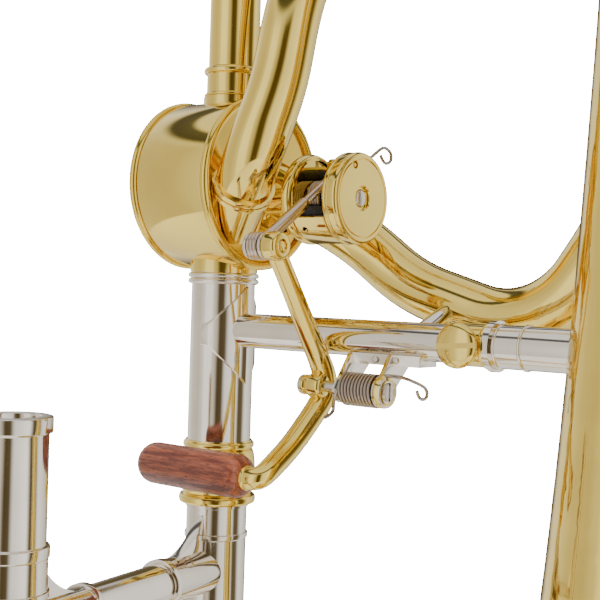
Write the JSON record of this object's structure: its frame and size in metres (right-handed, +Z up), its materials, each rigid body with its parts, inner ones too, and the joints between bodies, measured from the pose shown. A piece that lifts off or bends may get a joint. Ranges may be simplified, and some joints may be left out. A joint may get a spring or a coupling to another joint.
{
  "type": "trombone",
  "caption": "Tenor trombone with thumb-operated rotary valve: hand slide, flared bell, tuning bows, wooden thumb grip, lever linkage and braces, standing on its slide tip",
  "frame": {"origin": "where the axis of the slide tube that carries the valve meets the floor plane on which the rubber slide tip stands", "axes": "+Z up along the slide, +X along the bell brace from the neckpipe to the bell, -Y towards the mouthpiece tube"},
  "size_m": [0.2692, 0.2214, 1.1959],
  "materials": {
    "lacquered_brass": "gold-coloured brass, polished and clear lacquered",
    "nickel_silver": "warm white nickel silver, polished and lacquered",
    "raw_brass": "fine turned, oiled",
    "spring_steel": "drawn wire, slightly bronzed",
    "rubber": "black, matt",
    "hardwood": "dark red-brown hardwood, oiled, grain lengthwise",
    "cork": "natural cork",
    "chrome_plate": "hard chrome plated, honed"
  },
  "bodies": {
    "frame": {"bell_brace_end": "nickel_silver", "bell_brace_sleeve": "lacquered_brass", "bell_brace_tube": "nickel_silver", "bell_ferrule": "nickel_silver", "bell_flare": "lacquered_brass", "bell_rim_wire": "lacquered_brass", "bell_stem": "lacquered_brass", "brace_foot": "nickel_silver", "brace_joints": "nickel_silver", "cork_barrels": "nickel_silver", "drum_saddles": "lacquered_brass", "f_loop_stays": "nickel_silver", "f_lower_tube": "lacquered_brass", "f_sleeves": "lacquered_brass", "f_slide_legs": "nickel_silver", "f_upper_tube": "lacquered_brass", "gooseneck_ferrule": "nickel_silver", "gooseneck_tube": "lacquered_brass", "inner_slide_brace": "nickel_silver", "inner_slide_tubes": "chrome_plate", "lever_bracket": "nickel_silver", "lever_pivot": "nickel_silver", "lever_spring": "spring_steel", "mouthpiece_receiver": "nickel_silver", "neckpipe": "nickel_silver", "neckpipe_ferrule": "nickel_silver", "rotor_bearings": "raw_brass", "stop_bumpers": "rubber", "stop_housing": "lacquered_brass", "tuning_legs": "nickel_silver", "upper_stay": "nickel_silver", "valve_casing": "lacquered_brass", "valve_front_plate": "lacquered_brass"},
    "hand_slide": {"outer_slide_tubes": "nickel_silver", "outer_slide_sleeves": "nickel_silver", "hand_brace": "nickel_silver", "slide_bow": "nickel_silver", "tip_socket": "nickel_silver", "slide_tip": "rubber", "water_nipple": "nickel_silver", "water_key_saddle": "nickel_silver"},
    "water_key": {"water_key_lever": "nickel_silver", "water_key_cork": "cork"},
    "slide_lock": {"slide_lock_ring": "nickel_silver"},
    "lock_nut": {"bell_lock_nut": "lacquered_brass"},
    "main_tuning_slide": {"tuning_bow": "lacquered_brass", "tuning_bow_legs": "nickel_silver", "tuning_bow_stay": "nickel_silver"},
    "f_tuning_slide": {"f_bow": "lacquered_brass", "f_bow_legs": "nickel_silver", "f_bow_stay": "nickel_silver"},
    "thumb_lever": {"lever": "lacquered_brass", "thumb_grip": "hardwood", "ball_screw": "nickel_silver"},
    "link": {"link_rod": "nickel_silver"},
    "valve_rotor": {"rotor": "raw_brass", "stop_arm": "raw_brass"},
    "stop_cap": {"housing_cap": "lacquered_brass"},
    "back_cap": {"valve_back_cap": "lacquered_brass"},
    "brace_thumbscrew": {"brace_screw": "lacquered_brass"}
  },
  "joints": [
    {"name": "hand_slide", "type": "slide", "parent": "frame", "child": "hand_slide", "axis": [0, 0, -1], "range_m": [0, 0.58]},
    {"name": "thumb_lever", "type": "hinge", "parent": "frame", "child": "thumb_lever", "pos_m": [0.043, -0.0075, 0.8098], "axis": [1, 0, 0], "range_deg": [0, 18], "stiffness_Nm_per_rad": 0.12, "springref_deg": -28.65},
    {"name": "rotor_turn", "type": "hinge", "parent": "frame", "child": "valve_rotor", "pos_m": [0, 0, 0.8618], "axis": [1, 0, 0], "range_deg": [0, 90]},
    {"name": "link_swing", "type": "hinge", "parent": "thumb_lever", "child": "link", "pos_m": [0.0378, -0.0281, 0.8473], "axis": [1, 0, 0], "range_deg": [-22, 0]},
    {"name": "main_tuning", "type": "slide", "parent": "frame", "child": "main_tuning_slide", "axis": [0, 0, 1], "range_m": [0, 0.07]},
    {"name": "f_tuning", "type": "slide", "parent": "frame", "child": "f_tuning_slide", "axis": [0, 0, 1], "range_m": [0, 0.075]},
    {"name": "water_key", "type": "hinge", "parent": "hand_slide", "child": "water_key", "pos_m": [-0.0126, -0.00589, 0.05922], "axis": [0.1392, -0.9903, 0], "range_deg": [-6.5, 0], "stiffness_Nm_per_rad": 0.05, "springref_deg": 17.19},
    {"name": "slide_lock", "type": "hinge", "parent": "frame", "child": "slide_lock", "pos_m": [0.01211, -0.08615, 0.722], "axis": [0, 0, 1], "range_deg": [-40, 0]},
    {"name": "lock_nut_turn", "type": "hinge", "parent": "frame", "child": "lock_nut", "pos_m": [0, 0, 0.771], "axis": [0, 0, 1], "continuous": true},
    {"name": "brace_screw_turn", "type": "hinge", "parent": "frame", "child": "brace_thumbscrew", "pos_m": [0.0869, 0, 0.8233], "axis": [0, -1, 0], "continuous": true},
    {"name": "stop_cap_turn", "type": "hinge", "parent": "frame", "child": "stop_cap", "pos_m": [0.046, 0, 0.8618], "axis": [1, 0, 0], "continuous": true},
    {"name": "back_cap_turn", "type": "hinge", "parent": "frame", "child": "back_cap", "pos_m": [-0.0131, 0, 0.867], "axis": [1, 0, 0], "continuous": true}
  ],
  "couplings": [
    {"joint": "rotor_turn", "follows": "thumb_lever", "ratio": 5},
    {"joint": "link_swing", "follows": "thumb_lever", "ratio": -1.2222}
  ]
}
